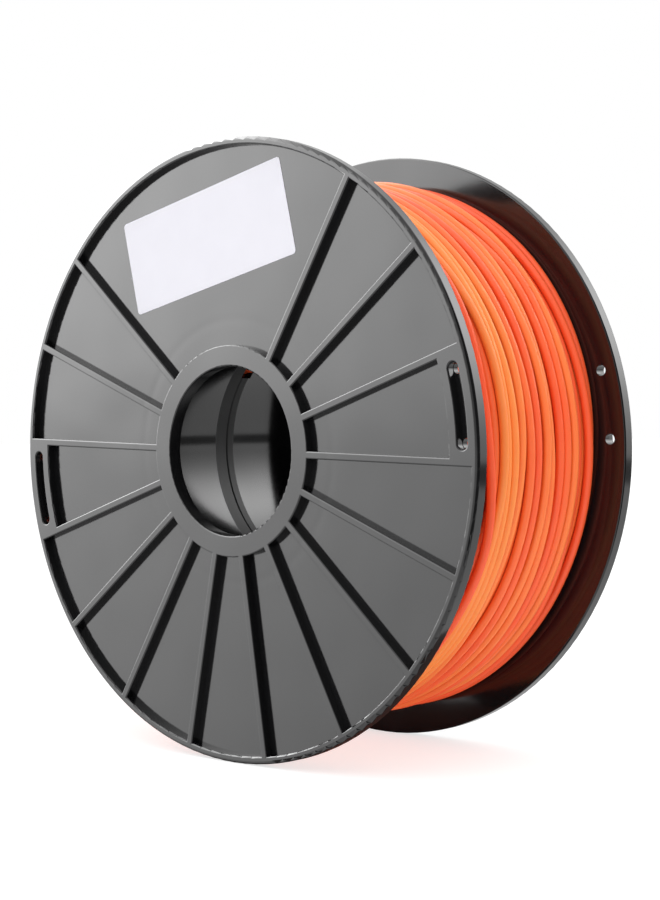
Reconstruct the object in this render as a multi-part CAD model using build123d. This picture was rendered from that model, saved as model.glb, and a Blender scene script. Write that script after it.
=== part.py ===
"""A 200 mm filament spool: two moulded half spools that meet in the middle of the drum, the strand
of filament wound between their flanges, and a paper label on the front web.

The origin is the spool's centre. The spool turns about the Y axis, its labelled flange faces -Y and
+Z is up. Each half spool is drawn in a frame of its own, with the middle of the spool at z = 0 and
its flange facing +z, and is then laid into place.
"""
from build123d import *
from math import cos, degrees, radians, sin, sqrt, tan
import os

# Overall sizes, in mm. Angles are in degrees.
flange_radius = 100.0
overall_width = 80.8
bore_radius = 27.2
spool_turn = 8.2              # how far the spool has rolled from its label being at the top

# Flange: a flush rim, hub ring and ribs round recessed web panels.
flange_thickness = 4.7
web_thickness = 2.0
rim_width = 2.5
hub_ring_width = 6.8
rib_width = 2.4
rib_count = 15
first_rib_angle = 50.0        # the label panel lies between this rib and its mirror image
panel_corner_radius = 0.6
rim_round = 1.2               # on the rim's outer edge, away from the filament
rim_inner_round = 0.6         # on the rim's edge that faces the filament
mouth_round = 0.5             # on the edges of the ribs, lands, pockets and hub ring

# Tie pockets: two curved pockets beside the rim, each with a hole through its floor at both ends.
pocket_clearance = 0.4        # on each side of the strand
pocket_inset = 5.7            # from the rim's outside to the middle of the pocket
pocket_land = 10.8            # how far the flush land round a pocket reaches in from the rim's outside
pocket_end_land = 2.4         # from a pocket's end to the rib beside it
pocket_gap_index = 2.5        # each pocket is midway between its side's third and fourth ribs
tie_hole_side_land = 0.125    # the floor left between a hole and its pocket's wall

# Drum: a plain tube with a lap joint in the middle.
drum_radius = 43.5
drum_wall = 2.5
lap_length = 4.0
lap_radial_clearance = 0.05
lap_end_clearance = 0.1
seam_chamfer = 0.4

# Filament: the wound strand, its inner end in the drum and its outer end in a tie pocket.
strand_diameter = 2.85
winding_below_rim = 11.5
winding_drum_clearance = 0.05
anchor_angle = 139.0
anchor_clearance = 0.6        # round the strand where it slants through the drum's wall
start_reach = 2.2             # how far the inner end reaches past the drum's inner wall
start_sweep = 8.0             # the angle that the inner end covers on its way in
tail_sweep = 16.0             # the angle that the outer end covers on its way to its hole
tail_web_gap = 5.7            # from the rear web to the strand's middle as it nears its hole
tail_drift = 0.5              # how far the outer end nears the web from one point to the next
tail_bow = 1.0                # how far the outer end bows outwards midway
tail_depth_in_pocket = 2.0
bend_share = 0.45             # the share of the shorter run that an arc takes up

# Label: a rectangle of paper on the front web.
label_height = 31.4
label_inset = 30.2            # from the rim's outside to the middle of the label
label_rib_clearance = 6.8
label_rim_clearance = 4.2
label_off_centre = 1.2        # angle from the middle of its panel to the middle of the label
label_tilt = 4.4
label_corner_radius = 1.2
label_thickness = 0.12

# Sizes that follow from the ones above.
half_width = overall_width / 2
web_inner_z = half_width - flange_thickness
recess_depth = flange_thickness - web_thickness
panel_floor_z = half_width - recess_depth
rim_inner_radius = flange_radius - rim_width
hub_ring_radius = bore_radius + hub_ring_width
rib_pitch = (2 * first_rib_angle + 180.0) / (rib_count - 1)
pocket_width = strand_diameter + 2 * pocket_clearance
pocket_radius = flange_radius - pocket_inset
pocket_end_length = rib_width / 2 + pocket_end_land + pocket_width / 2
pocket_half_angle = rib_pitch / 2 - degrees(pocket_end_length / pocket_radius)
right_pocket_angle = first_rib_angle - pocket_gap_index * rib_pitch
pocket_angles = (right_pocket_angle, 180.0 - right_pocket_angle)
tail_hole_angle = pocket_angles[1] - pocket_half_angle
tie_hole_radius = pocket_width / 2 - tie_hole_side_land
land_inner_radius = flange_radius - pocket_land
drum_inner_radius = drum_radius - drum_wall
lap_radius = (drum_radius + drum_inner_radius) / 2
winding_radius = flange_radius - winding_below_rim
anchor_length = strand_diameter + 2 * anchor_clearance
label_radius = flange_radius - label_inset
edge_tolerance = 0.01

front_frame = Plane(origin=(0, 0, 0), x_dir=(1, 0, 0), z_dir=(0, -1, 0))
rear_frame = Plane(origin=(0, 0, 0), x_dir=(-1, 0, 0), z_dir=(0, 1, 0))


def place_front(shape):
    """Lay a shape drawn in the half spool's own frame onto the labelled side."""
    return front_frame.location * Rot(0, 0, spool_turn) * shape


def place_rear(shape):
    """Lay a shape drawn in the half spool's own frame onto the side away from the label."""
    return rear_frame.location * Rot(0, 0, -spool_turn) * shape


def tube(outer_radius, inner_radius, low_z, high_z):
    """A plain ring about z, from low_z to high_z."""
    profile = Circle(outer_radius) - Circle(inner_radius)
    return Pos(0, 0, low_z) * extrude(profile, amount=high_z - low_z)


def polar(radius, angle):
    """The x and y of a point at this radius and angle."""
    return radius * cos(radians(angle)), radius * sin(radians(angle))


def ring_point(radius, angle, depth):
    """A point at this radius and angle round the spool's axis, and this far along +Y."""
    x, z = polar(radius, angle)
    return Vector(x, depth, z)


def edges_at_height(body, z):
    """A body's edges that lie at this height, the shortest first."""
    edges = body.edges().filter_by_position(Axis.Z, z - edge_tolerance, z + edge_tolerance)
    return edges.sort_by(SortBy.LENGTH)


def rib_angles():
    """Every rib's angle: an even pitch all round, with none between the label panel's two ribs."""
    return [first_rib_angle - rib_pitch * index for index in range(rib_count)]


def pocket_outline(angle, width):
    """A curved slot round the spool's axis, with a round end about each of its two holes."""
    middle_line = CenterArc((0, 0), pocket_radius, angle - pocket_half_angle, 2 * pocket_half_angle)
    return SlotArc(middle_line, width)


def pocket_land_outline(angle):
    """The flush land round one tie pocket, as wide as the gap between two ribs."""
    past_rim = flange_radius / cos(radians(rib_pitch))
    sector = make_face(Polyline(
        (0, 0),
        polar(past_rim, angle - rib_pitch / 2),
        polar(past_rim, angle + rib_pitch / 2),
        (0, 0),
    ))
    return sector & (Circle(flange_radius) - Circle(land_inner_radius))


def recessed_panels():
    """The plan of the web panels: the ring between hub and rim, less the ribs and pocket lands."""
    plan = Circle(rim_inner_radius) - Circle(hub_ring_radius)
    for angle in rib_angles():
        rib = Pos(flange_radius / 2, 0) * Rectangle(flange_radius, rib_width)
        plan -= Rot(0, 0, angle) * rib
    for angle in pocket_angles:
        plan -= pocket_land_outline(angle)
    return [fillet(panel.vertices(), panel_corner_radius) for panel in plan.faces()]


def flange():
    """One flange with its panels and pockets sunk from the outside, and its mouths rounded."""
    body = tube(flange_radius, bore_radius, web_inner_z, half_width)
    for panel in recessed_panels():
        body -= Pos(0, 0, panel_floor_z) * extrude(panel, amount=recess_depth)
    for angle in pocket_angles:
        pocket = extrude(pocket_outline(angle, pocket_width), amount=recess_depth)
        body -= Pos(0, 0, panel_floor_z) * pocket
    body = fillet(edges_at_height(body, half_width)[-1], rim_round)
    body = fillet(edges_at_height(body, web_inner_z)[-1], rim_inner_round)
    mouth_edges = edges_at_height(body, half_width)[:-1]
    body = fillet(mouth_edges, mouth_round)
    for angle in pocket_angles:
        for side in (-pocket_half_angle, pocket_half_angle):
            hole_x, hole_y = polar(pocket_radius, angle + side)
            hole = Cylinder(tie_hole_radius, flange_thickness)
            body -= Pos(hole_x, hole_y, web_inner_z) * hole
    return body


def half_drum(has_tongue):
    """One half of the drum: a tube, chamfered inside at the seam, with a tongue or its rebate."""
    body = tube(drum_radius, drum_inner_radius, 0, web_inner_z)
    inner_seam_edge = edges_at_height(body, 0)[0]
    body = chamfer(inner_seam_edge, seam_chamfer)
    if has_tongue:
        return body + tube(drum_radius, lap_radius + lap_radial_clearance, -lap_length, 0)
    return body - tube(2 * drum_radius, lap_radius, 0, lap_length + lap_end_clearance)


def start_ends():
    """The two ends of the strand's inner end piece: outside the drum's wall, and inside the drum."""
    depth = anchor_length / 2
    outside = ring_point(drum_radius + strand_diameter, anchor_angle + start_sweep / 2, depth)
    inside = ring_point(drum_inner_radius - start_reach, anchor_angle - start_sweep / 2, depth)
    return outside, inside


def anchor_notch():
    """The opening in the drum, just behind the seam, that the filament's inner end slants through."""
    outside, inside = start_ends()
    radial_run = strand_diameter + drum_wall + start_reach
    slant = (outside - inside).length / radial_run
    width = slant * strand_diameter + sqrt(slant ** 2 - 1) * drum_wall + 2 * anchor_clearance
    block = Box(4 * drum_wall, anchor_length, width)
    return Rot(0, -anchor_angle, 0) * Pos(drum_radius - drum_wall / 2, anchor_length / 2, 0) * block


def front_half_spool():
    """The labelled half: its flange, its half of the drum and the joint's tongue."""
    body = flange() + half_drum(has_tongue=True)
    return place_front(body) - anchor_notch()


def rear_half_spool():
    """The other half: the same flange, with the rebate that takes the tongue."""
    body = flange() + half_drum(has_tongue=False)
    return place_rear(body) - anchor_notch()


def filament_winding():
    """The space that the wound strand fills, flange to flange."""
    ring = tube(winding_radius, drum_radius + winding_drum_clearance, -web_inner_z, web_inner_z)
    return front_frame.location * ring


def strand(points, bend_radii):
    """A round strand along straight runs that are joined by arcs."""
    if bend_radii:
        route = FilletPolyline(*points, radius=bend_radii)
    else:
        route = Line(*points)
    section = Plane(origin=route @ 0, z_dir=route % 0) * Circle(strand_diameter / 2)
    return sweep(section, path=route)


def filament_start():
    """The strand's inner end, which slants in through the anchor notch."""
    return strand(start_ends(), []) - filament_winding()


def filament_tail():
    """The strand's outer end, which leaves the last turn and goes out through a tie pocket's hole."""
    hole_angle = tail_hole_angle + spool_turn
    near_web = web_inner_z - tail_web_gap
    last_turn_radius = winding_radius - strand_diameter / 2
    halfway_radius = (last_turn_radius + winding_radius + strand_diameter / 2) / 2
    points = [
        ring_point(last_turn_radius, hole_angle + tail_sweep, near_web - 2 * tail_drift),
        ring_point(halfway_radius + tail_bow, hole_angle + tail_sweep / 2, near_web - tail_drift),
        ring_point(pocket_radius, hole_angle, near_web),
        ring_point(pocket_radius, hole_angle, panel_floor_z + tail_depth_in_pocket),
    ]
    return strand(points, tail_bend_radii(points)) - filament_winding()


def tail_bend_radii(points):
    """The radius of the arc at each corner that takes up its share of the shorter run."""
    radii = []
    for before, corner, after in zip(points, points[1:], points[2:]):
        incoming = corner - before
        outgoing = after - corner
        turn = incoming.get_angle(outgoing)
        radii.append(bend_share * min(incoming.length, outgoing.length) / tan(radians(turn / 2)))
    return radii


def label_half_length():
    """Half the label's length: its lower corners clear the ribs and its upper corners the rim."""
    panel_half_angle = radians(90.0 - first_rib_angle)
    lower_edge = label_radius - label_height / 2
    upper_edge = label_radius + label_height / 2
    to_rib = lower_edge * tan(panel_half_angle) - rib_width / 2 / cos(panel_half_angle)
    to_rim = sqrt((rim_inner_radius - label_rim_clearance) ** 2 - upper_edge ** 2)
    return min(to_rib - label_rib_clearance, to_rim)


def label():
    """The paper label, as long as its panel leaves room for."""
    length = 2 * label_half_length()
    sheet = extrude(RectangleRounded(length, label_height, label_corner_radius), label_thickness)
    centre_x, centre_y = polar(label_radius, 90.0 + label_off_centre)
    return place_front(Pos(centre_x, centre_y, panel_floor_z) * Rot(0, 0, label_tilt) * sheet)


nodes = {
    "front_half_spool": front_half_spool,
    "rear_half_spool": rear_half_spool,
    "filament_winding": filament_winding,
    "filament_start": filament_start,
    "filament_tail": filament_tail,
    "label": label,
}

os.makedirs("parts", exist_ok=True)
for name, build_node in nodes.items():
    export_step(build_node(), f"parts/{name}.step")
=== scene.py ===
"""Looks of a 200 mm filament spool: black moulded half spools, a wound orange strand and a paper label."""
import math

import bpy
import numpy as np
from bpy.props import FloatProperty, IntProperty, PointerProperty, StringProperty
from mathutils import Matrix, Vector


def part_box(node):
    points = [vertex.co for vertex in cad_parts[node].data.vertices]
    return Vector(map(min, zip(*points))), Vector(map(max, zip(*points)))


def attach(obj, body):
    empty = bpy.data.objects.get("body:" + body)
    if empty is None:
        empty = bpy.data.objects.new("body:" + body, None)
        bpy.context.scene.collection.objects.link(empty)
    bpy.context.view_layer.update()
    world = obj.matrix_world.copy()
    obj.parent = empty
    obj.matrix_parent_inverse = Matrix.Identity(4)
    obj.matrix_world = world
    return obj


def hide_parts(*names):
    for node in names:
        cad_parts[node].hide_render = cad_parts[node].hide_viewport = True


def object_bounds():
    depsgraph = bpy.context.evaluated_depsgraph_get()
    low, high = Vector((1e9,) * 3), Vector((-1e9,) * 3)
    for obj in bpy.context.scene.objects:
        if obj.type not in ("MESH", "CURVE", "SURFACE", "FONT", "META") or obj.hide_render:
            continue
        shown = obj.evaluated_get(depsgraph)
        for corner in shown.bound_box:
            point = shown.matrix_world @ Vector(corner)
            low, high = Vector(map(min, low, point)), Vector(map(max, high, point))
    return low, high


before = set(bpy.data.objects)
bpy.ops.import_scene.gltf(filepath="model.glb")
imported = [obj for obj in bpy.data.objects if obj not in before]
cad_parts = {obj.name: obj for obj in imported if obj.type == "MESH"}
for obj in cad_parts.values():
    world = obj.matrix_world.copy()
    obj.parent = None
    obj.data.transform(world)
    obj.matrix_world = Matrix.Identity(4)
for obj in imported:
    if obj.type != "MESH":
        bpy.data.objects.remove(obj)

bl_info = {
    "name": "Filament spool",
    "version": (1, 0, 0),
    "blender": (4, 5, 0),
    "location": "3D View > Sidebar > Spool",
    "description": "Builds the strand, the mouldings' finish, the label and the studio for a filament spool",
    "category": "Add Mesh",
}

MM = 0.001
CAD_BOX = [list(corner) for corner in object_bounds()]


# ---------------------------------------------------------------- settings

class StrandSettings(bpy.types.PropertyGroup):
    """Sizes and colours of the wound strand."""
    diameter: FloatProperty(
        name="Strand diameter", description="Diameter of the filament",
        default=2.85 * MM, unit="LENGTH")
    pitch: FloatProperty(
        name="Winding pitch", description="Distance between neighbouring turns along the drum",
        default=3.6 * MM, unit="LENGTH")
    wander: FloatProperty(
        name="Wander", description="How far a turn strays to the side",
        default=0.5 * MM, unit="LENGTH")
    front_margin: FloatProperty(
        name="Front margin", description="From the front flange to where the top layer starts",
        default=1.4 * MM, unit="LENGTH")
    drum_radius: FloatProperty(
        name="Drum radius", description="Outer radius of the drum that the strand is wound on",
        default=43.5 * MM, unit="LENGTH")
    rear_rise: FloatProperty(
        name="Rear rise", description="How much higher the winding is at the rear flange",
        default=1.3 * MM, unit="LENGTH")
    # Painted shade: the strand's colour deepens towards the rear flange.
    rear_painted_shade: FloatProperty(
        name="Rear tone", description="How much deeper the colour is at the rear flange",
        default=0.2)
    tail_straight: FloatProperty(
        name="Straight tail", description="Length of the tail that runs straight through its hole",
        default=6.5 * MM, unit="LENGTH")
    seed: IntProperty(
        name="Seed", description="Seed of the turns' wander",
        default=7)
    light_colour: StringProperty(
        name="Light colour", description="sRGB hex colour of the filament's paler stretches",
        default="F68A3C")
    # The deep colour serves both the random deeper stretches and the painted shade at the rear flange.
    deep_colour: StringProperty(
        name="Deep colour", description="sRGB hex colour of the filament's deeper stretches",
        default="F2592A")


class MouldingSettings(bpy.types.PropertyGroup):
    """Finish of the moulded half spools."""
    colour: StringProperty(
        name="Colour", description="sRGB hex colour of the plastic",
        default="101011")
    roughness: FloatProperty(
        name="Roughness", description="Roughness of the moulded faces",
        default=0.12, subtype="FACTOR")
    band_roughness: FloatProperty(
        name="Band roughness", description="Roughness of the matt band inside the drum's seam",
        default=0.5, subtype="FACTOR")
    band_front: FloatProperty(
        name="Band front", description="Where the matt band starts, along the spool's axis",
        default=-5.4 * MM, unit="LENGTH")
    band_rear: FloatProperty(
        name="Band rear", description="Where the matt band ends, along the spool's axis",
        default=3.1 * MM, unit="LENGTH")
    drum_middle_radius: FloatProperty(
        name="Drum wall radius", description="Radius of the middle of the drum's wall",
        default=42.25 * MM, unit="LENGTH")


class LabelSettings(bpy.types.PropertyGroup):
    """Finish of the paper label."""
    colour: StringProperty(
        name="Colour", description="sRGB hex colour of the paper",
        default="D9D8DF")
    mottle_colour: StringProperty(
        name="Mottle colour", description="sRGB hex colour of the paper's slightly darker spots",
        default="D4D3DA")


class StudioSettings(bpy.types.PropertyGroup):
    """Camera and light."""
    focal_length: FloatProperty(
        name="Focal length", description="Camera lens, in millimetres on a 36 mm sensor",
        default=76.0)
    azimuth: FloatProperty(
        name="Azimuth", description="How far round the spool the camera stands",
        default=math.radians(42.289), subtype="ANGLE")
    elevation: FloatProperty(
        name="Elevation", description="Height of the camera's view",
        default=math.radians(1.011), subtype="ANGLE")
    roll: FloatProperty(
        name="Roll", description="Turn of the camera about its view",
        default=math.radians(-0.709), subtype="ANGLE")
    distance: FloatProperty(
        name="Distance", description="From the camera to the spool's centre",
        default=637.4 * MM, unit="LENGTH")
    shift_x: FloatProperty(
        name="Shift X", description="Sideways shift of the lens",
        default=0.0185)
    shift_y: FloatProperty(
        name="Shift Y", description="Upward shift of the lens",
        default=-0.0017)
    ambient: FloatProperty(
        name="Ambient", description="Soft light from all sides at the height of the spool",
        default=0.6)
    overhead: FloatProperty(
        name="Overhead", description="Soft light that is added towards the zenith",
        default=0.8)
    key: FloatProperty(
        name="Key", description="Power of the soft key light, in watts",
        default=8.0)


# ---------------------------------------------------------------- nodes and meshes

# A Mix node's inputs and outputs of one kind share a name, so they are called by number.
MIX_FACTOR = 0
MIX_NUMBERS = (2, 3)
MIX_COLOURS = (6, 7)
MIXED_COLOUR = 2


def linear(hex_colour):
    """An sRGB hex colour as linear red, green, blue and alpha."""
    channels = [int(hex_colour[i:i + 2], 16) / 255 for i in (0, 2, 4)]
    return [c / 12.92 if c <= 0.04045 else ((c + 0.055) / 1.055) ** 2.4 for c in channels] + [1.0]


def add_node(owner, kind, inputs=None, **settings):
    """Adds a node to a material or world. kind is its type's name after "ShaderNode".

    inputs gives what each input is set or linked to, by its name or number, and a node stands for its own
    first output. settings are the new node's attributes.
    """
    node = owner.node_tree.nodes.new("ShaderNode" + kind)
    for name, value in settings.items():
        setattr(node, name, value)
    for name, value in (inputs or {}).items():
        if isinstance(value, bpy.types.Node):
            value = value.outputs[0]
        if isinstance(value, bpy.types.NodeSocket):
            owner.node_tree.links.new(value, node.inputs[name])
        else:
            node.inputs[name].default_value = value
    return node


def new_material(name):
    """A node material with no nodes yet."""
    material = bpy.data.materials.new(name)
    material.use_nodes = True
    material.node_tree.nodes.clear()
    return material


def mesh_object(name, points, faces, material, smooth=True):
    """A mesh object at the origin from arrays of points and of faces."""
    mesh = bpy.data.meshes.new(name)
    mesh.from_pydata(points, [], faces)
    mesh.polygons.foreach_set("use_smooth", np.full(len(mesh.polygons), smooth))
    mesh.materials.append(material)
    mesh.update()
    obj = bpy.data.objects.new(name, mesh)
    bpy.context.scene.collection.objects.link(obj)
    return obj


def dress(node, material):
    """Gives a CAD node one material."""
    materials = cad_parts[node].data.materials
    materials.clear()
    materials.append(material)


# ---------------------------------------------------------------- half spools: plastic

POLYSTYRENE_IOR = 1.59
SINK_WIDTH = 1.6 * MM         # the sink ring opposite the drum's wall
SINK_DEPTH = 0.016 * MM
WARP_SIZE = 38 * MM           # the slow warp where the web shrank
WARP_DEPTH = 0.35 * MM
PEEL_SIZE = 1.2 * MM          # the orange peel
PEEL_DEPTH = 0.0015 * MM
FLOW_SIZE = 15 * MM           # the clouds that the plastic's flow leaves in the gloss
FLOW_ROUGHNESS = 0.06         # how far roughness varies from cloud to cloud
BAND_BLUR = 0.3 * MM          # half the width over which the matt band fades out at its sides
BAND_DEPTH = 0.5 * MM         # depth in the drum's wall over which the matt band fades in


def moulded_polystyrene(settings):
    """Black high-impact polystyrene, injection moulded.

    Near-black and glossy, so what the eye sees is mostly reflection: faint orange peel, a slow warp
    where the web shrank, a sink ring opposite the drum's wall and a matt band inside the drum's seam.
    """
    material = new_material("moulded_black_polystyrene")
    place = add_node(material, "TexCoord").outputs["Object"]
    off_axis = add_node(material, "VectorMath", {0: place, 1: (1.0, 0.0, 1.0)}, operation="MULTIPLY")
    radius = add_node(material, "VectorMath", {0: off_axis}, operation="LENGTH").outputs["Value"]
    shader = add_node(material, "BsdfPrincipled", {
        "Base Color": linear(settings.colour),
        "IOR": POLYSTYRENE_IOR,
        "Roughness": moulded_roughness(material, settings, place, radius),
        "Normal": moulded_relief(material, settings, place, radius),
    })
    add_node(material, "OutputMaterial", {"Surface": shader})
    return material


def moulded_relief(material, settings, place, radius):
    """The sink ring, the warp and the orange peel.

    The ring's depth is e to the power of -(distance from its middle / its width) squared.
    """
    from_middle = add_node(
        material, "Math", {0: radius, 1: settings.drum_middle_radius}, operation="SUBTRACT")
    widths = add_node(material, "Math", {0: from_middle, 1: SINK_WIDTH}, operation="DIVIDE")
    squared = add_node(material, "Math", {0: widths, 1: widths}, operation="MULTIPLY")
    power = add_node(material, "Math", {0: squared, 1: -1.0}, operation="MULTIPLY")
    sink = add_node(material, "Math", {0: power}, operation="EXPONENT")
    warp = add_node(material, "TexNoise", {"Vector": place, "Scale": 1 / WARP_SIZE, "Detail": 1.0})
    peel = add_node(material, "TexNoise", {"Vector": place, "Scale": 1 / PEEL_SIZE, "Detail": 2.0})
    sunk = add_node(material, "Bump", {"Height": sink, "Strength": 1.0, "Distance": SINK_DEPTH}, invert=True)
    warped = add_node(material, "Bump", {
        "Height": warp, "Strength": 1.0, "Distance": WARP_DEPTH, "Normal": sunk})
    return add_node(material, "Bump", {
        "Height": peel, "Strength": 1.0, "Distance": PEEL_DEPTH, "Normal": warped})


def moulded_roughness(material, settings, place, radius):
    """Gloss that varies a little with the plastic's flow, and the matt band inside the drum's seam."""
    flow = add_node(material, "TexNoise", {"Vector": place, "Scale": 1 / FLOW_SIZE, "Detail": 3.0})
    clouds = add_node(material, "Math", {0: flow, 1: FLOW_ROUGHNESS}, operation="MULTIPLY")
    least = settings.roughness - FLOW_ROUGHNESS / 2
    rough = add_node(material, "Math", {0: least, 1: clouds}, operation="ADD")
    band = matt_band(material, settings, place, radius)
    duller = add_node(
        material, "Math", {0: band, 1: settings.band_roughness - settings.roughness}, operation="MULTIPLY")
    return add_node(material, "Math", {0: rough, 1: duller}, operation="ADD")


def matt_band(material, settings, place, radius):
    """1 in the band inside the drum's seam and 0 elsewhere."""
    middle = (settings.band_front + settings.band_rear) / 2
    reach = (settings.band_rear - settings.band_front) / 2
    along = add_node(material, "SeparateXYZ", {0: place}).outputs["Y"]
    from_middle = add_node(material, "Math", {0: along, 1: middle}, operation="SUBTRACT")
    distance = add_node(material, "Math", {0: from_middle}, operation="ABSOLUTE")
    beside = add_node(material, "MapRange", {
        "Value": distance, "From Min": reach + BAND_BLUR, "From Max": reach - BAND_BLUR,
    }, interpolation_type="SMOOTHSTEP")
    inside = add_node(material, "MapRange", {
        "Value": radius,
        "From Min": settings.drum_middle_radius, "From Max": settings.drum_middle_radius - BAND_DEPTH,
    }, interpolation_type="SMOOTHSTEP")
    return add_node(material, "Math", {0: beside, 1: inside}, operation="MULTIPLY")


# ---------------------------------------------------------------- half spools: shape

MERGE_DISTANCE = 0.002 * MM
SMOOTH_ANGLE = math.radians(40)
PLANE_AREA = 5 * MM ** 2      # the area in one plane above which it outweighs the round faces beside it
PLANE_GAP = 0.02 * MM         # planes nearer than this are one plane
NORMAL_STEPS = 500            # and so are planes whose normals differ by less than one part in this many
ROUND_DRIFT = 0.08            # the most that a facet of a round face turns the normal along the way round
LEAST_AREA = 1e-20            # these two keep a division by nothing finite
LEAST_LENGTH = 1e-30


def unit(vectors):
    """Each row at a length of 1."""
    return vectors / np.maximum(np.linalg.norm(vectors, axis=1, keepdims=True), LEAST_LENGTH)


def merged_surface(mesh):
    """The points and triangles of loose triangles, with the points that lie in one place made one."""
    points = np.empty(3 * len(mesh.vertices))
    mesh.vertices.foreach_get("co", points)
    corners = np.empty(len(mesh.loops), dtype=np.int32)
    mesh.loops.foreach_get("vertex_index", corners)
    points = points.reshape(-1, 3)
    spot = np.round(points / MERGE_DISTANCE).astype(np.int64)
    first, same = np.unique(spot, axis=0, return_index=True, return_inverse=True)[1:]
    triangles = same.ravel()[corners].reshape(-1, 3)
    whole = (triangles != np.roll(triangles, 1, axis=1)).all(1)
    return points[first], triangles[whole]


def plane_areas(corner, normal, area):
    """For each triangle, the area of all the triangles that lie in its plane."""
    distance = (normal * corner[:, 0]).sum(1)
    planes = np.round(np.column_stack([NORMAL_STEPS * normal, distance / PLANE_GAP])).astype(np.int64)
    plane = np.unique(planes, axis=0, return_inverse=True)[1].ravel()
    return np.bincount(plane, area)[plane]


def corner_pairs(point):
    """Every pair of corners at one point, as two arrays, from each corner's point."""
    order = np.argsort(point, kind="stable")
    run_start = np.searchsorted(point[order], point)
    run_length = np.bincount(point)[point]
    own = np.repeat(np.arange(len(point)), run_length)
    step = np.arange(len(own)) - np.repeat(np.cumsum(run_length) - run_length, run_length)
    return own, order[np.repeat(run_start, run_length) + step]


def corner_normals(points, triangles):
    """The normal at each corner of each triangle.

    It is the sum, over the corners at that point whose triangles lie within SMOOTH_ANGLE of the corner's own
    one, of their normals x their opening angle x their area x (1 + (area in their plane / PLANE_AREA)
    squared). So flat faces stay flat up to their edges, and the faces of a round one shade into each other.
    """
    corner = points[triangles]
    to_next = np.roll(corner, -1, axis=1) - corner
    to_last = np.roll(corner, 1, axis=1) - corner
    cross = np.cross(to_next[:, 0], to_last[:, 0])
    area = np.linalg.norm(cross, axis=1) / 2
    normal = cross / np.maximum(2 * area, LEAST_AREA)[:, None]
    lengths = np.linalg.norm(to_next, axis=2) * np.linalg.norm(to_last, axis=2)
    opening = np.arccos(np.clip((to_next * to_last).sum(2) / lengths, -1, 1)).ravel()
    flatness = plane_areas(corner, normal, area) / PLANE_AREA
    weight = opening * np.repeat(area * (1 + flatness ** 2), 3)
    point = triangles.ravel()
    own, other = corner_pairs(point)
    near = (normal[own // 3] * normal[other // 3]).sum(1) > math.cos(SMOOTH_ANGLE)
    share = normal[other // 3] * (weight[other] * near)[:, None]
    total = unit(np.column_stack([np.bincount(own, share[:, axis]) for axis in range(3)]))
    return without_drift(points[point], total)


def without_drift(points, normals):
    """Takes a small part along the way round the spool's axis out of each normal: its face is round."""
    around = unit(np.cross(points, (0, 1, 0)))
    drift = (normals * around).sum(1, keepdims=True)
    return unit(normals - np.where(np.abs(drift) < ROUND_DRIFT, drift, 0) * around)


def add_moulding(name, node, material):
    """A half spool with its surface joined up, so that its round faces shade smoothly."""
    points, triangles = merged_surface(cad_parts[node].data)
    piece = mesh_object(name, points, triangles.tolist(), material)
    piece.data.normals_split_custom_set(corner_normals(points, triangles).tolist())
    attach(piece, "root")
    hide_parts(node)


# ---------------------------------------------------------------- wound strand: plastic

ABS_IOR = 1.53
ABS_ROUGHNESS = 0.45
GLOW_SHARE = 0.12             # share of the light that goes into the plastic
GLOW_DEPTH = 1.0 * MM
GLOW_COLOURS = (1.0, 0.3, 0.1)
CLOUD_SIZE = 20 * MM          # clouds of paler and deeper colour
CLOUD_CHANGE = 0.5
DRAWN_SIZE = 1.5 * MM         # the unevenness that the die leaves
DRAWN_DEPTH = 0.02 * MM
DRAWN_STRENGTH = 0.3


def extruded_abs(settings):
    """Orange ABS strand, extruded and cooled in water.

    Smooth with a soft gloss, and light goes a little way in, so grooves glow red. The `tone` attribute
    carries the slow random change from deeper to paler stretches along the strand, and painted shade that
    deepens it towards the rear flange.
    """
    material = new_material("extruded_orange_abs")
    place = add_node(material, "TexCoord").outputs["Object"]
    tone = add_node(material, "Attribute", attribute_name="tone").outputs["Fac"]
    cloud = add_node(material, "TexNoise", {"Vector": place, "Scale": 1 / CLOUD_SIZE, "Detail": 2.0})
    from_middle = add_node(material, "Math", {0: cloud, 1: 0.5}, operation="SUBTRACT")
    change = add_node(material, "Math", {0: from_middle, 1: CLOUD_CHANGE}, operation="MULTIPLY")
    clouded = add_node(material, "Math", {0: tone, 1: change}, operation="ADD")
    colour = add_node(material, "Mix", {
        MIX_FACTOR: clouded,
        MIX_COLOURS[0]: linear(settings.deep_colour),
        MIX_COLOURS[1]: linear(settings.light_colour),
    }, data_type="RGBA").outputs[MIXED_COLOUR]
    drawn = add_node(material, "TexNoise", {"Vector": place, "Scale": 1 / DRAWN_SIZE, "Detail": 2.0})
    bump = add_node(material, "Bump", {"Height": drawn, "Strength": DRAWN_STRENGTH, "Distance": DRAWN_DEPTH})
    shader = add_node(material, "BsdfPrincipled", {
        "Base Color": colour, "Roughness": ABS_ROUGHNESS, "IOR": ABS_IOR, "Normal": bump,
        "Subsurface Weight": GLOW_SHARE, "Subsurface Scale": GLOW_DEPTH, "Subsurface Radius": GLOW_COLOURS,
    })
    add_node(material, "OutputMaterial", {"Surface": shader})
    return material


# ---------------------------------------------------------------- wound strand: shape

TURN_SAMPLES = 200            # points of the strand's path in each turn
LAYER_STEP = 0.80             # height of a layer over the one below it, in strand diameters
# The gaps between bundles of turns in the top layer: place across the winding, from -1 at the front
# flange to 1 at the rear one; how far the gap leans to the side round the spool, in mm; the angle where
# it leans furthest, in turns; and its width in mm.
GAPS = (
    (-0.42, 7.0, 0.20, 2.6),
    (0.05, 3.0, 0.60, 1.0),
    (0.42, 4.0, 0.35, 1.4),
    (0.87, 1.0, 0.10, 2.6),
)
GAP_BLUR = 0.6                # distance over which a gap pushes turns aside, in strand diameters
CLIMB_SHARPNESS = 14          # how sharply the strand climbs to the top layer, in e-foldings per turn
LAYING_HEIGHT = 0.1           # how far above their place the turns are laid, in strand diameters

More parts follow.
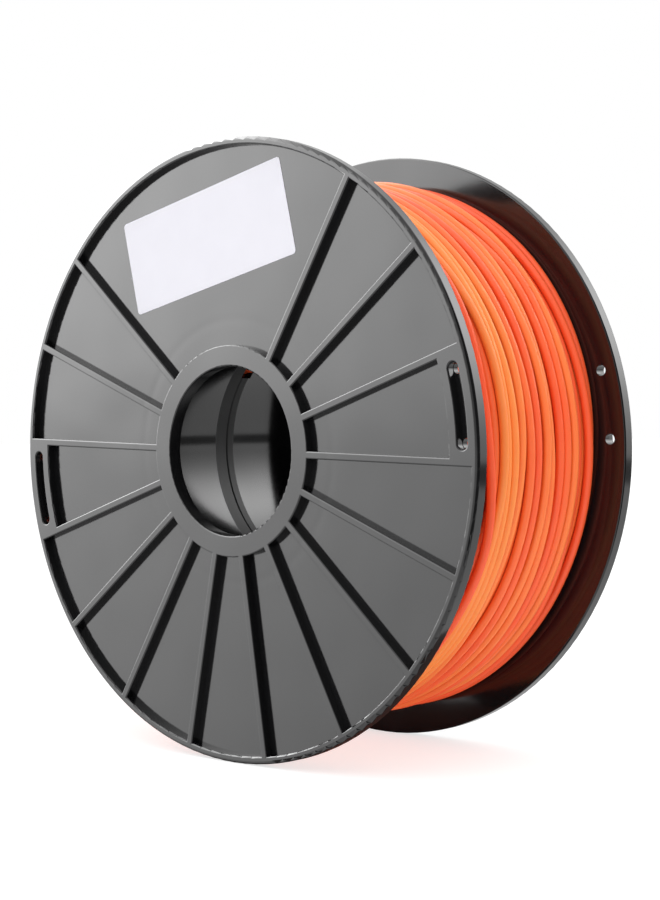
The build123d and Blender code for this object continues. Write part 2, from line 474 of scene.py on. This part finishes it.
WAVES = 40                    # sines in a random path
QUICK_WANDER = (0.25, 1.1)    # slowest and fastest sine of each random path, in cycles per turn
SLOW_WANDER = (0.02, 0.2)
CORE_WANDER = (0.3, 1.4)
TONE_WANDER = (0.03, 0.35)

CORE_SEED = 3
CORE_OVERRUN = 1.1            # how far the turns under the settled ones go on past the winding's ends
CORE_UNEVENNESS = 0.12        # in strand diameters
CORE_SINK = 0.3               # how far the visible core lies below those turns, in strand diameters
CORE_CLEARANCE = 0.05 * MM    # between the core and the drum
RIPPLE_ROWS = 8               # rows of points across each turn of the core

SETTLING_STEPS = 160
SETTLING_PULL = 0.02          # how far the first step pulls the turns inwards, in strand diameters
SETTLING_RETURN = 0.02        # share of its way back to where it was laid that a turn goes in a step
PUSHES = 3                    # times that touching turns push each other apart in each step
PUSH_SHARE = 0.8              # share of an overlap that one push takes away
LEAST_DISTANCE = 0.001        # between two turns, in strand diameters, which keeps the push finite
STIFFNESS = 0.5               # share of the way to its neighbours' average that a point goes in a step

OUTER_SIDES = 12              # sides of the strand's tube, in the top layer and under it
INNER_SIDES = 10
TONE_MIDDLE = 0.5
TONE_SPREAD = 0.4
TAIL_LEAVING = 0.45           # the two handles of the tail's curve, as shares of its span
TAIL_ARRIVING = 0.4
TAIL_CURVE_POINTS = 40
TAIL_STRAIGHT_POINTS = 6


def wander(rng, turns, size, cycles):
    """A smooth random path: WAVES sines of random frequency, in cycles per turn, and random phase."""
    place = np.arange(turns * TURN_SAMPLES) / TURN_SAMPLES
    frequency = rng.uniform(*cycles, (WAVES, 1))
    phase = rng.uniform(0, 2 * np.pi, (WAVES, 1))
    return size * np.sqrt(2 / WAVES) * np.sin(2 * np.pi * frequency * place + phase).sum(0)


def bundled(along, turn, edge, step):
    """Shifts turns away from each gap, and closes them up evenly between the gaps.

    The shift is the sum over the gaps of half the width x tanh(distance from the gap / step), less a
    straight line across the winding that makes it nothing at both flanges.
    """
    shift = np.zeros_like(along)
    for place, lean, lean_turn, width in GAPS:
        centre = place * edge + lean * MM * np.cos(2 * np.pi * (turn - lean_turn))
        shift += width / 2 * MM * (np.tanh((along - centre) / step) - along / edge)
    return along + shift


def core_turns(turns, edge, radius, unevenness):
    """Place along the axis and radius of the turns under the settled layers: one helix, uneven in height."""
    rng = np.random.default_rng(CORE_SEED)
    place = np.arange(-1, turns + 1)[:, None] + np.arange(TURN_SAMPLES) / TURN_SAMPLES
    along = np.clip(2 * edge * place / turns - edge, -CORE_OVERRUN * edge, CORE_OVERRUN * edge)
    height = wander(rng, turns + 2, unevenness, CORE_WANDER).reshape(turns + 2, TURN_SAMPLES)
    return along, radius + height


def laid_turns(strand, turns, edge, top_radius):
    """The strand as a winder lays it: one layer back to the front flange and the top layer forward again.

    Returns the place along the axis and the radius, one row for each turn.
    """
    rng = np.random.default_rng(strand.seed)
    rows = 2 * turns
    place = np.arange(rows * TURN_SAMPLES) / TURN_SAMPLES
    lower = edge - 2 * edge * place / turns
    front = strand.front_margin - edge
    upper = np.minimum(front + (edge - front) * (place - turns) / (turns - 1), edge)
    upper = bundled(upper, place % 1, edge, GAP_BLUR * strand.diameter)
    along = np.where(place < turns, lower, upper)
    along = along + wander(rng, rows, strand.wander, QUICK_WANDER)
    along = along + wander(rng, rows, strand.wander, SLOW_WANDER)
    layer = 1 / (1 + np.exp(-CLIMB_SHARPNESS * (place - turns)))
    radius = top_radius + LAYER_STEP * strand.diameter * (layer - 1) + LAYING_HEIGHT * strand.diameter
    return np.clip(along, -edge, edge).reshape(rows, TURN_SAMPLES), radius.reshape(rows, TURN_SAMPLES)


def pushed_apart(along, radius, core, diameter, edge):
    """Pushes apart the turns that are nearer than a diameter.

    Two turns share a push equally. One that touches the core takes all of it, because the core stays put.
    """
    core_along, core_radius = core
    gap_along = np.concatenate([along, core_along])[None] - along[:, None]
    gap_radius = np.concatenate([radius, core_radius])[None] - radius[:, None]
    distance = np.maximum(np.hypot(gap_along, gap_radius), LEAST_DISTANCE * diameter)
    push = np.maximum(diameter / distance - 1, 0)
    rows = np.arange(len(along))
    push[rows, rows] = 0
    push[:, :len(along)] *= 0.5
    along = np.clip(along - PUSH_SHARE * (push * gap_along).sum(1), -edge, edge)
    return along, radius - PUSH_SHARE * (push * gap_radius).sum(1)


def stiffened(values):
    """Each value along the whole strand, moved by STIFFNESS to the average of its neighbours."""
    line = np.pad(values.ravel(), 2, mode="edge")
    average = (line[:-4] + 2 * line[1:-3] + 2 * line[2:-2] + 2 * line[3:-1] + line[4:]) / 8
    return ((1 - STIFFNESS) * values.ravel() + STIFFNESS * average).reshape(values.shape)


def settled_turns(strand, turns, edge, top_radius):
    """Lets the laid turns settle under tension.

    Each step pulls every turn inwards, pushes apart the ones that are nearer than a diameter, and then
    averages along the strand, as its stiffness does. At the end the turns rise towards the rear flange,
    by rear_rise x the square of the share of the way across.
    """
    diameter = strand.diameter
    laid_along, laid_radius = laid_turns(strand, turns, edge, top_radius)
    core = core_turns(turns, edge, top_radius - 2 * LAYER_STEP * diameter, CORE_UNEVENNESS * diameter)
    along = laid_along
    radius = laid_radius
    for step in range(SETTLING_STEPS):
        radius = radius - SETTLING_PULL * diameter * (1 - step / SETTLING_STEPS)
        along = along + SETTLING_RETURN * (laid_along - along)
        for _ in range(PUSHES):
            along, radius = pushed_apart(along, radius, core, diameter, edge)
        along = stiffened(along)
        radius = stiffened(radius)
    return along, radius + strand.rear_rise * ((along + edge) / (2 * edge)) ** 2


def ring_points(angle, along, radius):
    """Points in the spool's frame from their angle round +Y, place along it and distance from it."""
    return np.stack([radius * np.cos(angle), along, radius * np.sin(angle)], -1)


def wound_path(along, radius):
    """The strand's points, and the outward direction at each, ending at the angle of its tail.

    Round the spool's axis the strand goes by one turn for each row of the arrays.
    """
    tail_low, tail_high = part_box("filament_tail")
    end_angle = math.atan2(tail_low[2], tail_high[0])
    place = np.arange(along.size) / along.shape[1] - len(along)
    angle = end_angle - 2 * np.pi * place
    path = ring_points(angle, along.ravel(), radius.ravel())
    return path, ring_points(angle, np.zeros_like(angle), np.ones_like(angle))


def tail_path(end, direction, strand):
    """From the last turn out through its tie hole: a cubic Bezier curve that ends along +Y, then a straight.

    The curve is (1-t)^3 A + 3t(1-t)^2 B + 3t^2(1-t) C + t^3 D, with B and C on the tangents at A and D.
    """
    low, high = (np.array(corner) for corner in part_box("filament_tail"))
    outside = np.array([low[0] + strand.diameter / 2, high[1], high[2] - strand.diameter / 2])
    mouth = outside - [0, strand.tail_straight, 0]
    reach = np.linalg.norm(mouth - end)
    leaving = end + TAIL_LEAVING * reach * direction / np.linalg.norm(direction)
    arriving = mouth - [0, TAIL_ARRIVING * reach, 0]
    t = np.linspace(0, 1, TAIL_CURVE_POINTS)[1:, None]
    curve = ((1 - t) ** 3 * end + 3 * t * (1 - t) ** 2 * leaving
             + 3 * t ** 2 * (1 - t) * arriving + t ** 3 * mouth)
    straight = mouth + np.linspace(0, 1, TAIL_STRAIGHT_POINTS)[1:, None] * (outside - mouth)
    return np.concatenate([curve, straight])


def tube_rings(path, outward, radius, sides):
    """A ring of `sides` points at each point of the path, in the plane across the path.

    A ring's first axis is the outward direction made square to the path, its second is their cross product.
    """
    along = np.gradient(path, axis=0)
    along /= np.linalg.norm(along, axis=1, keepdims=True)
    first = outward - (outward * along).sum(1, keepdims=True) * along
    first /= np.linalg.norm(first, axis=1, keepdims=True)
    second = np.cross(along, first)
    turn = np.arange(sides) / sides * 2 * np.pi
    ring = np.cos(turn)[None, :, None] * first[:, None] + np.sin(turn)[None, :, None] * second[:, None]
    return path[:, None] + radius * ring


def tube_mesh(path, outward, radius, sides):
    """A closed tube: rings joined by four-cornered faces, and a fan of triangles at each end."""
    rings = tube_rings(path, outward, radius, sides).reshape(-1, 3)
    points = np.concatenate([rings, path[:1], path[-1:]])
    row = np.arange(len(path) - 1)[:, None] * sides
    side = np.arange(sides)
    after = (side + 1) % sides
    walls = np.stack([row + side, row + after, row + sides + after, row + sides + side], -1).reshape(-1, 4)
    last = (len(path) - 1) * sides
    start_fan = np.stack([after, side, np.full(sides, len(points) - 2)], -1)
    end_fan = np.stack([last + side, last + after, np.full(sides, len(points) - 1)], -1)
    return points, walls.tolist() + start_fan.tolist() + end_fan.tolist()


def rippled_core(turns, edge, low_y, high_y, inner_radius, radius, strand_radius):
    """The turns under the settled layers as one closed ring.

    Its outside is a row of half circles along the axis, which drift by one turn in each revolution.
    """
    angle = np.arange(TURN_SAMPLES) / TURN_SAMPLES * 2 * np.pi
    across = np.linspace(low_y, high_y, RIPPLE_ROWS * turns)
    pitch = 2 * edge / turns
    phase = ((across[:, None] + edge) / pitch - angle[None] / (2 * np.pi) + 0.5) % 1 - 0.5
    height = np.sqrt(np.maximum(strand_radius ** 2 - (phase * pitch) ** 2, 0))
    outside = ring_points(*np.broadcast_arrays(angle[None], across[:, None], radius + height))
    ends = [ring_points(*np.broadcast_arrays(angle, y, inner_radius)) for y in (high_y, low_y)]
    points = np.concatenate([outside, np.array(ends)]).reshape(-1, 3)
    rows = len(across) + 2
    row = np.arange(rows)[:, None] * TURN_SAMPLES
    next_row = (row + TURN_SAMPLES) % (rows * TURN_SAMPLES)
    column = np.arange(TURN_SAMPLES)[None]
    next_column = (column + 1) % TURN_SAMPLES
    faces = np.stack([row + column, next_row + column, next_row + next_column, row + next_column], -1)
    return points, faces.reshape(-1, 4).tolist()


def strand_tones(strand, along, edge):
    """The tone at each point of the strand: a random path, with painted shade that makes it deeper towards
    the rear flange.
    """
    rng = np.random.default_rng(strand.seed + 1)
    tones = TONE_MIDDLE + wander(rng, len(along), TONE_SPREAD, TONE_WANDER)
    # Painted shade: the colour deepens towards the rear flange.
    return tones - strand.rear_painted_shade * np.clip(along.ravel() / edge, 0, 1)


def add_tones(piece, tones):
    """The `tone` attribute: one value for each ring of a tube, the same all round it."""
    count = len(piece.data.vertices)
    sides = (count - 2) // len(tones)
    values = np.concatenate([np.repeat(tones, sides), tones[:1], tones[-1:]])
    attribute = piece.data.attributes.new("tone", "FLOAT", "POINT")
    attribute.data.foreach_set("value", values.astype(np.float32))


def add_turns(strand, turns, edge, top_radius, material):
    """The top two layers, the upper one with the tail, as two tubes."""
    along, radius = settled_turns(strand, turns, edge, top_radius)
    path, outward = wound_path(along, radius)
    tones = strand_tones(strand, along, edge)
    tail = tail_path(path[-1], path[-1] - path[-2], strand)
    split = turns * TURN_SAMPLES
    outer_path = np.concatenate([path[split - 1:], tail])
    outer_outward = np.concatenate([outward[split - 1:], np.repeat(outward[-1:], len(tail), 0)])
    outer_tones = np.concatenate([tones[split - 1:], np.repeat(tones[-1:], len(tail))])
    outer = mesh_object("filament_outer_turns", *tube_mesh(
        outer_path, outer_outward, strand.diameter / 2, OUTER_SIDES), material)
    inner = mesh_object("filament_inner_turns", *tube_mesh(
        path[:split], outward[:split], strand.diameter / 2, INNER_SIDES), material)
    add_tones(outer, outer_tones)
    add_tones(inner, tones[:split])
    return outer, inner


def add_core(strand, turns, edge, top_radius, material):
    """The rest of the winding as one rippled ring on the drum."""
    low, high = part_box("filament_winding")
    radius = top_radius - (2 * LAYER_STEP + CORE_SINK) * strand.diameter
    return mesh_object("filament_core", *rippled_core(
        turns, edge, low[1], high[1], strand.drum_radius + CORE_CLEARANCE, radius,
        strand.diameter / 2), material)


# ---------------------------------------------------------------- label

PAPER_IOR = 1.45
PAPER_ROUGHNESS = 0.8
FIBRE_SIZE = 0.8 * MM         # coarser than real fibres, so that they show
FIBRE_DEPTH = 0.02 * MM
FIBRE_STRENGTH = 0.3
MOTTLE_SIZE = 9 * MM


def label_paper(settings):
    """Uncoated white paper, pressed: matt, with a faint fibre grain and slight mottling."""
    material = new_material("uncoated_label_paper")
    place = add_node(material, "TexCoord").outputs["Object"]
    fibre = add_node(material, "TexNoise", {"Vector": place, "Scale": 1 / FIBRE_SIZE, "Detail": 4.0})
    mottle = add_node(material, "TexNoise", {"Vector": place, "Scale": 1 / MOTTLE_SIZE, "Detail": 2.0})
    colour = add_node(material, "Mix", {
        MIX_FACTOR: mottle,
        MIX_COLOURS[0]: linear(settings.colour),
        MIX_COLOURS[1]: linear(settings.mottle_colour),
    }, data_type="RGBA").outputs[MIXED_COLOUR]
    bump = add_node(material, "Bump", {"Height": fibre, "Strength": FIBRE_STRENGTH, "Distance": FIBRE_DEPTH})
    shader = add_node(material, "BsdfPrincipled", {
        "Base Color": colour, "Roughness": PAPER_ROUGHNESS, "IOR": PAPER_IOR, "Normal": bump})
    add_node(material, "OutputMaterial", {"Surface": shader})
    return material


# ---------------------------------------------------------------- studio: camera and floor

SENSOR_WIDTH = 36.0           # in millimetres, as Blender's cameras have it
NEAREST_SEEN = 0.01
FURTHEST_SEEN = 50.0
FLOOR_REACH = 6.0             # from the spool to the floor's edges
FLOOR_COLOUR = "B4B4B4"
FLOOR_GLOW = 0.7              # the floor's own light, which keeps it pale
# The dark sheet under the spool is a painted shadow, which only the plastic's reflections see.
PAINTED_SHADOW_COLOUR = "706865"
PAINTED_SHADOW_RISE = 0.1 * MM
FLOOR_ROUGHNESS = 0.9


def add_camera(scene):
    """A camera that looks at the spool's centre from the studio's angles."""
    studio = scene.spool_studio
    data = bpy.data.cameras.new("camera")
    data.lens = studio.focal_length
    data.sensor_width = SENSOR_WIDTH
    data.shift_x = studio.shift_x
    data.shift_y = studio.shift_y
    data.clip_start = NEAREST_SEEN
    data.clip_end = FURTHEST_SEEN
    camera = bpy.data.objects.new("camera", data)
    scene.collection.objects.link(camera)
    back = Vector((
        math.sin(studio.azimuth) * math.cos(studio.elevation),
        -math.cos(studio.azimuth) * math.cos(studio.elevation),
        math.sin(studio.elevation),
    ))
    camera.rotation_mode = "QUATERNION"
    camera.rotation_quaternion = (
        (-back).to_track_quat("-Z", "Y") @ Matrix.Rotation(studio.roll, 3, "Z").to_quaternion())
    camera.location = studio.distance * back
    scene.camera = camera


def level_floor(name, low, high, height, colour, glow):
    """A matt rectangle that faces up and gives a light of its own."""
    points = np.array([
        (low[0], low[1], height),
        (high[0], low[1], height),
        (high[0], high[1], height),
        (low[0], high[1], height),
    ])
    material = new_material("matt_painted_" + name)
    shader = add_node(material, "BsdfPrincipled", {
        "Base Color": linear(colour), "Roughness": FLOOR_ROUGHNESS, "Specular IOR Level": 0.0,
        "Emission Color": linear("FFFFFF"), "Emission Strength": glow})
    add_node(material, "OutputMaterial", {"Surface": shader})
    floor = mesh_object(name, points, [[0, 1, 2, 3]], material, smooth=False)
    return floor


def add_floor():
    """A pale floor that the rims stand on. The plastic reflects the surround instead of it."""
    low = (-FLOOR_REACH, -FLOOR_REACH)
    high = (FLOOR_REACH, FLOOR_REACH)
    floor = level_floor("floor", low, high, CAD_BOX[0][2], FLOOR_COLOUR, FLOOR_GLOW)
    floor.visible_glossy = False


def add_painted_shadow_floor():
    """A dark sheet on the floor under the spool, a painted shadow: only the plastic's reflections see it."""
    low, high = CAD_BOX
    # Painted shadow: a dark colour laid under the spool.
    floor = level_floor("painted_shadow_floor", low, high, low[2] + PAINTED_SHADOW_RISE, PAINTED_SHADOW_COLOUR, 0.0)
    floor.visible_camera = False
    floor.visible_diffuse = False
    floor.visible_transmission = False
    floor.visible_shadow = False


# ---------------------------------------------------------------- studio: light

KEY_SIZE = (1.2, 1.0)
KEY_PLACE = (0.3, -1.2, 1.2)
# The soft boxes that the plastic reflects: azimuth and elevation in degrees, narrowness and strength.
SOFT_BOXES = (
    (211.7, 20.5, 7.0, 6.7),
    (168.0, 28.0, 8.0, 9.0),
    (60.0, 30.0, 12.0, 4.0),
    (0.0, 90.0, 3.0, 0.8),
)
WALL_GLOW = 0.6
TABLE_GLOW = 0.95
TABLE_SHARE = 0.6             # how much of the soft boxes' light the table throws back
HORIZON_BLUR = 0.03           # half the height over which the table goes over into the wall
UNLIT_SIDE = (-5.0, 10.0)     # middle of the dark side of the studio
UNLIT_REACH = (52.0, 38.0)    # angles from that middle where the dark side starts and is full
UNLIT_SHADE = 0.93
FAR_SIDE = (130.0, 6.0)       # the shaded side behind the spool, which its outlines reflect
FAR_NARROWNESS = 10.0
FAR_SHADE = 0.85
GAP_SIDE = (48.0, -6.0)       # where the dark gap between the table and the backdrop is deepest
GAP_NARROWNESS = 3.0
GAP_SHADE = 0.85
GAP_DROP = 0.115              # how far below the horizon the gap's middle is
GAP_EDGES = (0.06, 0.04)      # heights from that middle where the gap starts and is full


def aim(azimuth, elevation):
    """The unit vector at this azimuth, from +X towards +Y, and this elevation, in degrees."""
    azimuth = math.radians(azimuth)
    elevation = math.radians(elevation)
    return Vector((
        math.cos(elevation) * math.cos(azimuth),
        math.cos(elevation) * math.sin(azimuth),
        math.sin(elevation),
    ))


def lobe(world, direction, centre, narrowness, strength):
    """Light round one direction: strength x the cosine of the angle from it, to the power narrowness."""
    dot = add_node(world, "VectorMath", {0: direction, 1: centre}, operation="DOT_PRODUCT")
    facing = add_node(world, "Math", {0: dot.outputs["Value"], 1: 0.0}, operation="MAXIMUM")
    narrowed = add_node(world, "Math", {0: facing, 1: narrowness}, operation="POWER")
    return add_node(world, "Math", {0: narrowed, 1: strength}, operation="MULTIPLY")


def soft_boxes_and_table(world, direction, height):
    """The soft boxes' light over the wall's glow. Below the horizon the table throws back a share of it."""
    above = add_node(world, "MapRange", {
        "Value": height, "From Min": -HORIZON_BLUR, "From Max": HORIZON_BLUR,
    }, interpolation_type="SMOOTHSTEP")
    boxes = 0.0
    for azimuth, elevation, narrowness, strength in SOFT_BOXES:
        box = lobe(world, direction, aim(azimuth, elevation), narrowness, strength)
        boxes = add_node(world, "Math", {0: boxes, 1: box}, operation="ADD")
    rest = add_node(world, "Math", {0: above, 1: 1 - TABLE_SHARE}, operation="MULTIPLY")
    share = add_node(world, "Math", {0: TABLE_SHARE, 1: rest}, operation="ADD")
    change = add_node(world, "Math", {0: above, 1: WALL_GLOW - TABLE_GLOW}, operation="MULTIPLY")
    glow = add_node(world, "Math", {0: TABLE_GLOW, 1: change}, operation="ADD")
    thrown = add_node(world, "Math", {0: boxes, 1: share}, operation="MULTIPLY")
    return add_node(world, "Math", {0: glow, 1: thrown}, operation="ADD")


def unlit_side(world, direction):
    """The share of the light that the dark side of the studio leaves."""
    centre = aim(*UNLIT_SIDE)
    facing = add_node(world, "VectorMath", {0: direction, 1: centre}, operation="DOT_PRODUCT")
    start, full = (math.cos(math.radians(reach)) for reach in UNLIT_REACH)
    side = add_node(world, "MapRange", {
        "Value": facing.outputs["Value"], "From Min": start, "From Max": full,
    }, interpolation_type="SMOOTHSTEP")
    shade = add_node(world, "Math", {0: side, 1: UNLIT_SHADE}, operation="MULTIPLY")
    return add_node(world, "Math", {0: 1.0, 1: shade}, operation="SUBTRACT")


def far_side(world, direction):
    """The share of the light that the shaded side behind the spool leaves."""
    shade = lobe(world, direction, aim(*FAR_SIDE), FAR_NARROWNESS, FAR_SHADE)
    return add_node(world, "Math", {0: 1.0, 1: shade}, operation="SUBTRACT")


def gap_behind_table(world, direction, height):
    """The share of the light that the dark gap between the table and the backdrop leaves."""
    from_middle = add_node(world, "Math", {0: height, 1: GAP_DROP}, operation="ADD")
    distance = add_node(world, "Math", {0: from_middle}, operation="ABSOLUTE")
    level = add_node(world, "MapRange", {
        "Value": distance, "From Min": GAP_EDGES[0], "From Max": GAP_EDGES[1],
    }, interpolation_type="SMOOTHSTEP")
    side = lobe(world, direction, aim(*GAP_SIDE), GAP_NARROWNESS, GAP_SHADE)
    shade = add_node(world, "Math", {0: level, 1: side}, operation="MULTIPLY")
    return add_node(world, "Math", {0: 1.0, 1: shade}, operation="SUBTRACT")


def reflected_light(world, direction, height):
    """What the plastic reflects: the lit studio, less its dark sides and the gap behind its table."""
    light = soft_boxes_and_table(world, direction, height)
    unlit = unlit_side(world, direction)
    far = far_side(world, direction)
    gap = gap_behind_table(world, direction, height)
    for left in (unlit, far, gap):
        light = add_node(world, "Math", {0: light, 1: left}, operation="MULTIPLY")
    return light


def sky_light(world, height, studio):
    """What lights the pieces: the same all round the horizon, and brighter towards the zenith."""
    rise = add_node(world, "Math", {0: height, 1: 0.0}, operation="MAXIMUM")
    overhead = add_node(world, "Math", {0: rise, 1: studio.overhead}, operation="MULTIPLY")
    return add_node(world, "Math", {0: studio.ambient, 1: overhead}, operation="ADD")


def add_surround(scene):
    """A white surround to look at, a soft sky that lights the pieces, and soft boxes to reflect."""
    world = bpy.data.worlds.new("white_surround")
    world.use_nodes = True
    world.node_tree.nodes.clear()
    direction = add_node(world, "TexCoord").outputs["Generated"]
    height = add_node(world, "SeparateXYZ", {0: direction}).outputs["Z"]
    ray = add_node(world, "LightPath").outputs
    light = add_node(world, "Mix", {
        MIX_FACTOR: ray["Is Glossy Ray"],
        MIX_NUMBERS[0]: sky_light(world, height, scene.spool_studio),
        MIX_NUMBERS[1]: reflected_light(world, direction, height),
    }, data_type="FLOAT")
    strength = add_node(world, "Mix", {
        MIX_FACTOR: ray["Is Camera Ray"], MIX_NUMBERS[0]: light, MIX_NUMBERS[1]: 1.0,
    }, data_type="FLOAT")
    background = add_node(world, "Background", {"Color": linear("FFFFFF"), "Strength": strength})
    add_node(world, "OutputWorld", {"Surface": background})
    world.cycles.sampling_method = "NONE"
    scene.world = world
    scene.view_settings.view_transform = "Standard"


def add_key(scene):
    """A soft light from above in front, which the plastic doesn't reflect."""
    data = bpy.data.lights.new("front_soft_box", "AREA")
    data.shape = "RECTANGLE"
    data.size, data.size_y = KEY_SIZE
    data.energy = scene.spool_studio.key
    light = bpy.data.objects.new("front_soft_box", data)
    light.location = KEY_PLACE
    light.rotation_mode = "QUATERNION"
    light.rotation_quaternion = (-light.location).to_track_quat("-Z", "Y")
    light.visible_glossy = False
    scene.collection.objects.link(light)


# ---------------------------------------------------------------- operators and panel

class SPOOL_OT_mouldings(bpy.types.Operator):
    """Give both half spools their moulded finish"""
    bl_idname = "spool.mouldings"
    bl_label = "Half spools"

    def execute(self, context):
        material = moulded_polystyrene(context.scene.spool_moulding)
        add_moulding("front_moulding", "front_half_spool", material)
        add_moulding("rear_moulding", "rear_half_spool", material)
        return {"FINISHED"}


class SPOOL_OT_strand(bpy.types.Operator):
    """Wind the strand between the flanges and lead its end out through a tie hole"""
    bl_idname = "spool.strand"
    bl_label = "Wound strand"

    def execute(self, context):
        strand = context.scene.spool_strand
        material = extruded_abs(strand)
        low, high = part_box("filament_winding")
        edge = high[1] - strand.diameter / 2
        top_radius = high[0] - strand.diameter / 2
        turns = round(2 * edge / strand.pitch)
        outer, inner = add_turns(strand, turns, edge, top_radius, material)
        core = add_core(strand, turns, edge, top_radius, material)
        for piece in (outer, inner, core):
            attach(piece, "root")
        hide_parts("filament_winding", "filament_tail")
        dress("filament_start", material)
        return {"FINISHED"}


class SPOOL_OT_label(bpy.types.Operator):
    """Give the label its paper"""
    bl_idname = "spool.label"
    bl_label = "Label"

    def execute(self, context):
        dress("label", label_paper(context.scene.spool_label))
        return {"FINISHED"}


class SPOOL_OT_studio(bpy.types.Operator):
    """Set up the camera, the floor and the lights"""
    bl_idname = "spool.studio"
    bl_label = "Studio"

    def execute(self, context):
        add_camera(context.scene)
        add_floor()
        add_painted_shadow_floor()
        add_surround(context.scene)
        add_key(context.scene)
        return {"FINISHED"}


SETTINGS = {
    "spool_strand": StrandSettings,
    "spool_moulding": MouldingSettings,
    "spool_label": LabelSettings,
    "spool_studio": StudioSettings,
}
STEPS = (
    (SPOOL_OT_mouldings, "spool_moulding"),
    (SPOOL_OT_strand, "spool_strand"),
    (SPOOL_OT_label, "spool_label"),
    (SPOOL_OT_studio, "spool_studio"),
)


class SPOOL_PT_panel(bpy.types.Panel):
    """Lists the spool's operators and settings"""
    bl_idname = "SPOOL_PT_panel"
    bl_label = "Filament spool"
    bl_space_type = "VIEW_3D"
    bl_region_type = "UI"
    bl_category = "Spool"

    def draw(self, context):
        for operator, settings in STEPS:
            box = self.layout.box()
            box.operator(operator.bl_idname)
            group = getattr(context.scene, settings)
            for name in group.bl_rna.properties.keys():
                if name not in ("rna_type", "name"):
                    box.prop(group, name)


def register():
    """Registers the classes and puts the settings on the scene."""
    for name, group in SETTINGS.items():
        bpy.utils.register_class(group)
        setattr(bpy.types.Scene, name, PointerProperty(type=group))
    for operator, _ in STEPS:
        bpy.utils.register_class(operator)
    bpy.utils.register_class(SPOOL_PT_panel)


def unregister():
    """Takes away what register added."""
    bpy.utils.unregister_class(SPOOL_PT_panel)
    for operator, _ in reversed(STEPS):
        bpy.utils.unregister_class(operator)
    for name, group in reversed(SETTINGS.items()):
        delattr(bpy.types.Scene, name)
        bpy.utils.unregister_class(group)


def main():
    """Builds every piece and the studio."""
    register()
    for operator, _ in STEPS:
        group, action = operator.bl_idname.split(".")
        getattr(getattr(bpy.ops, group), action)()


if __name__ == "__main__":
    main()
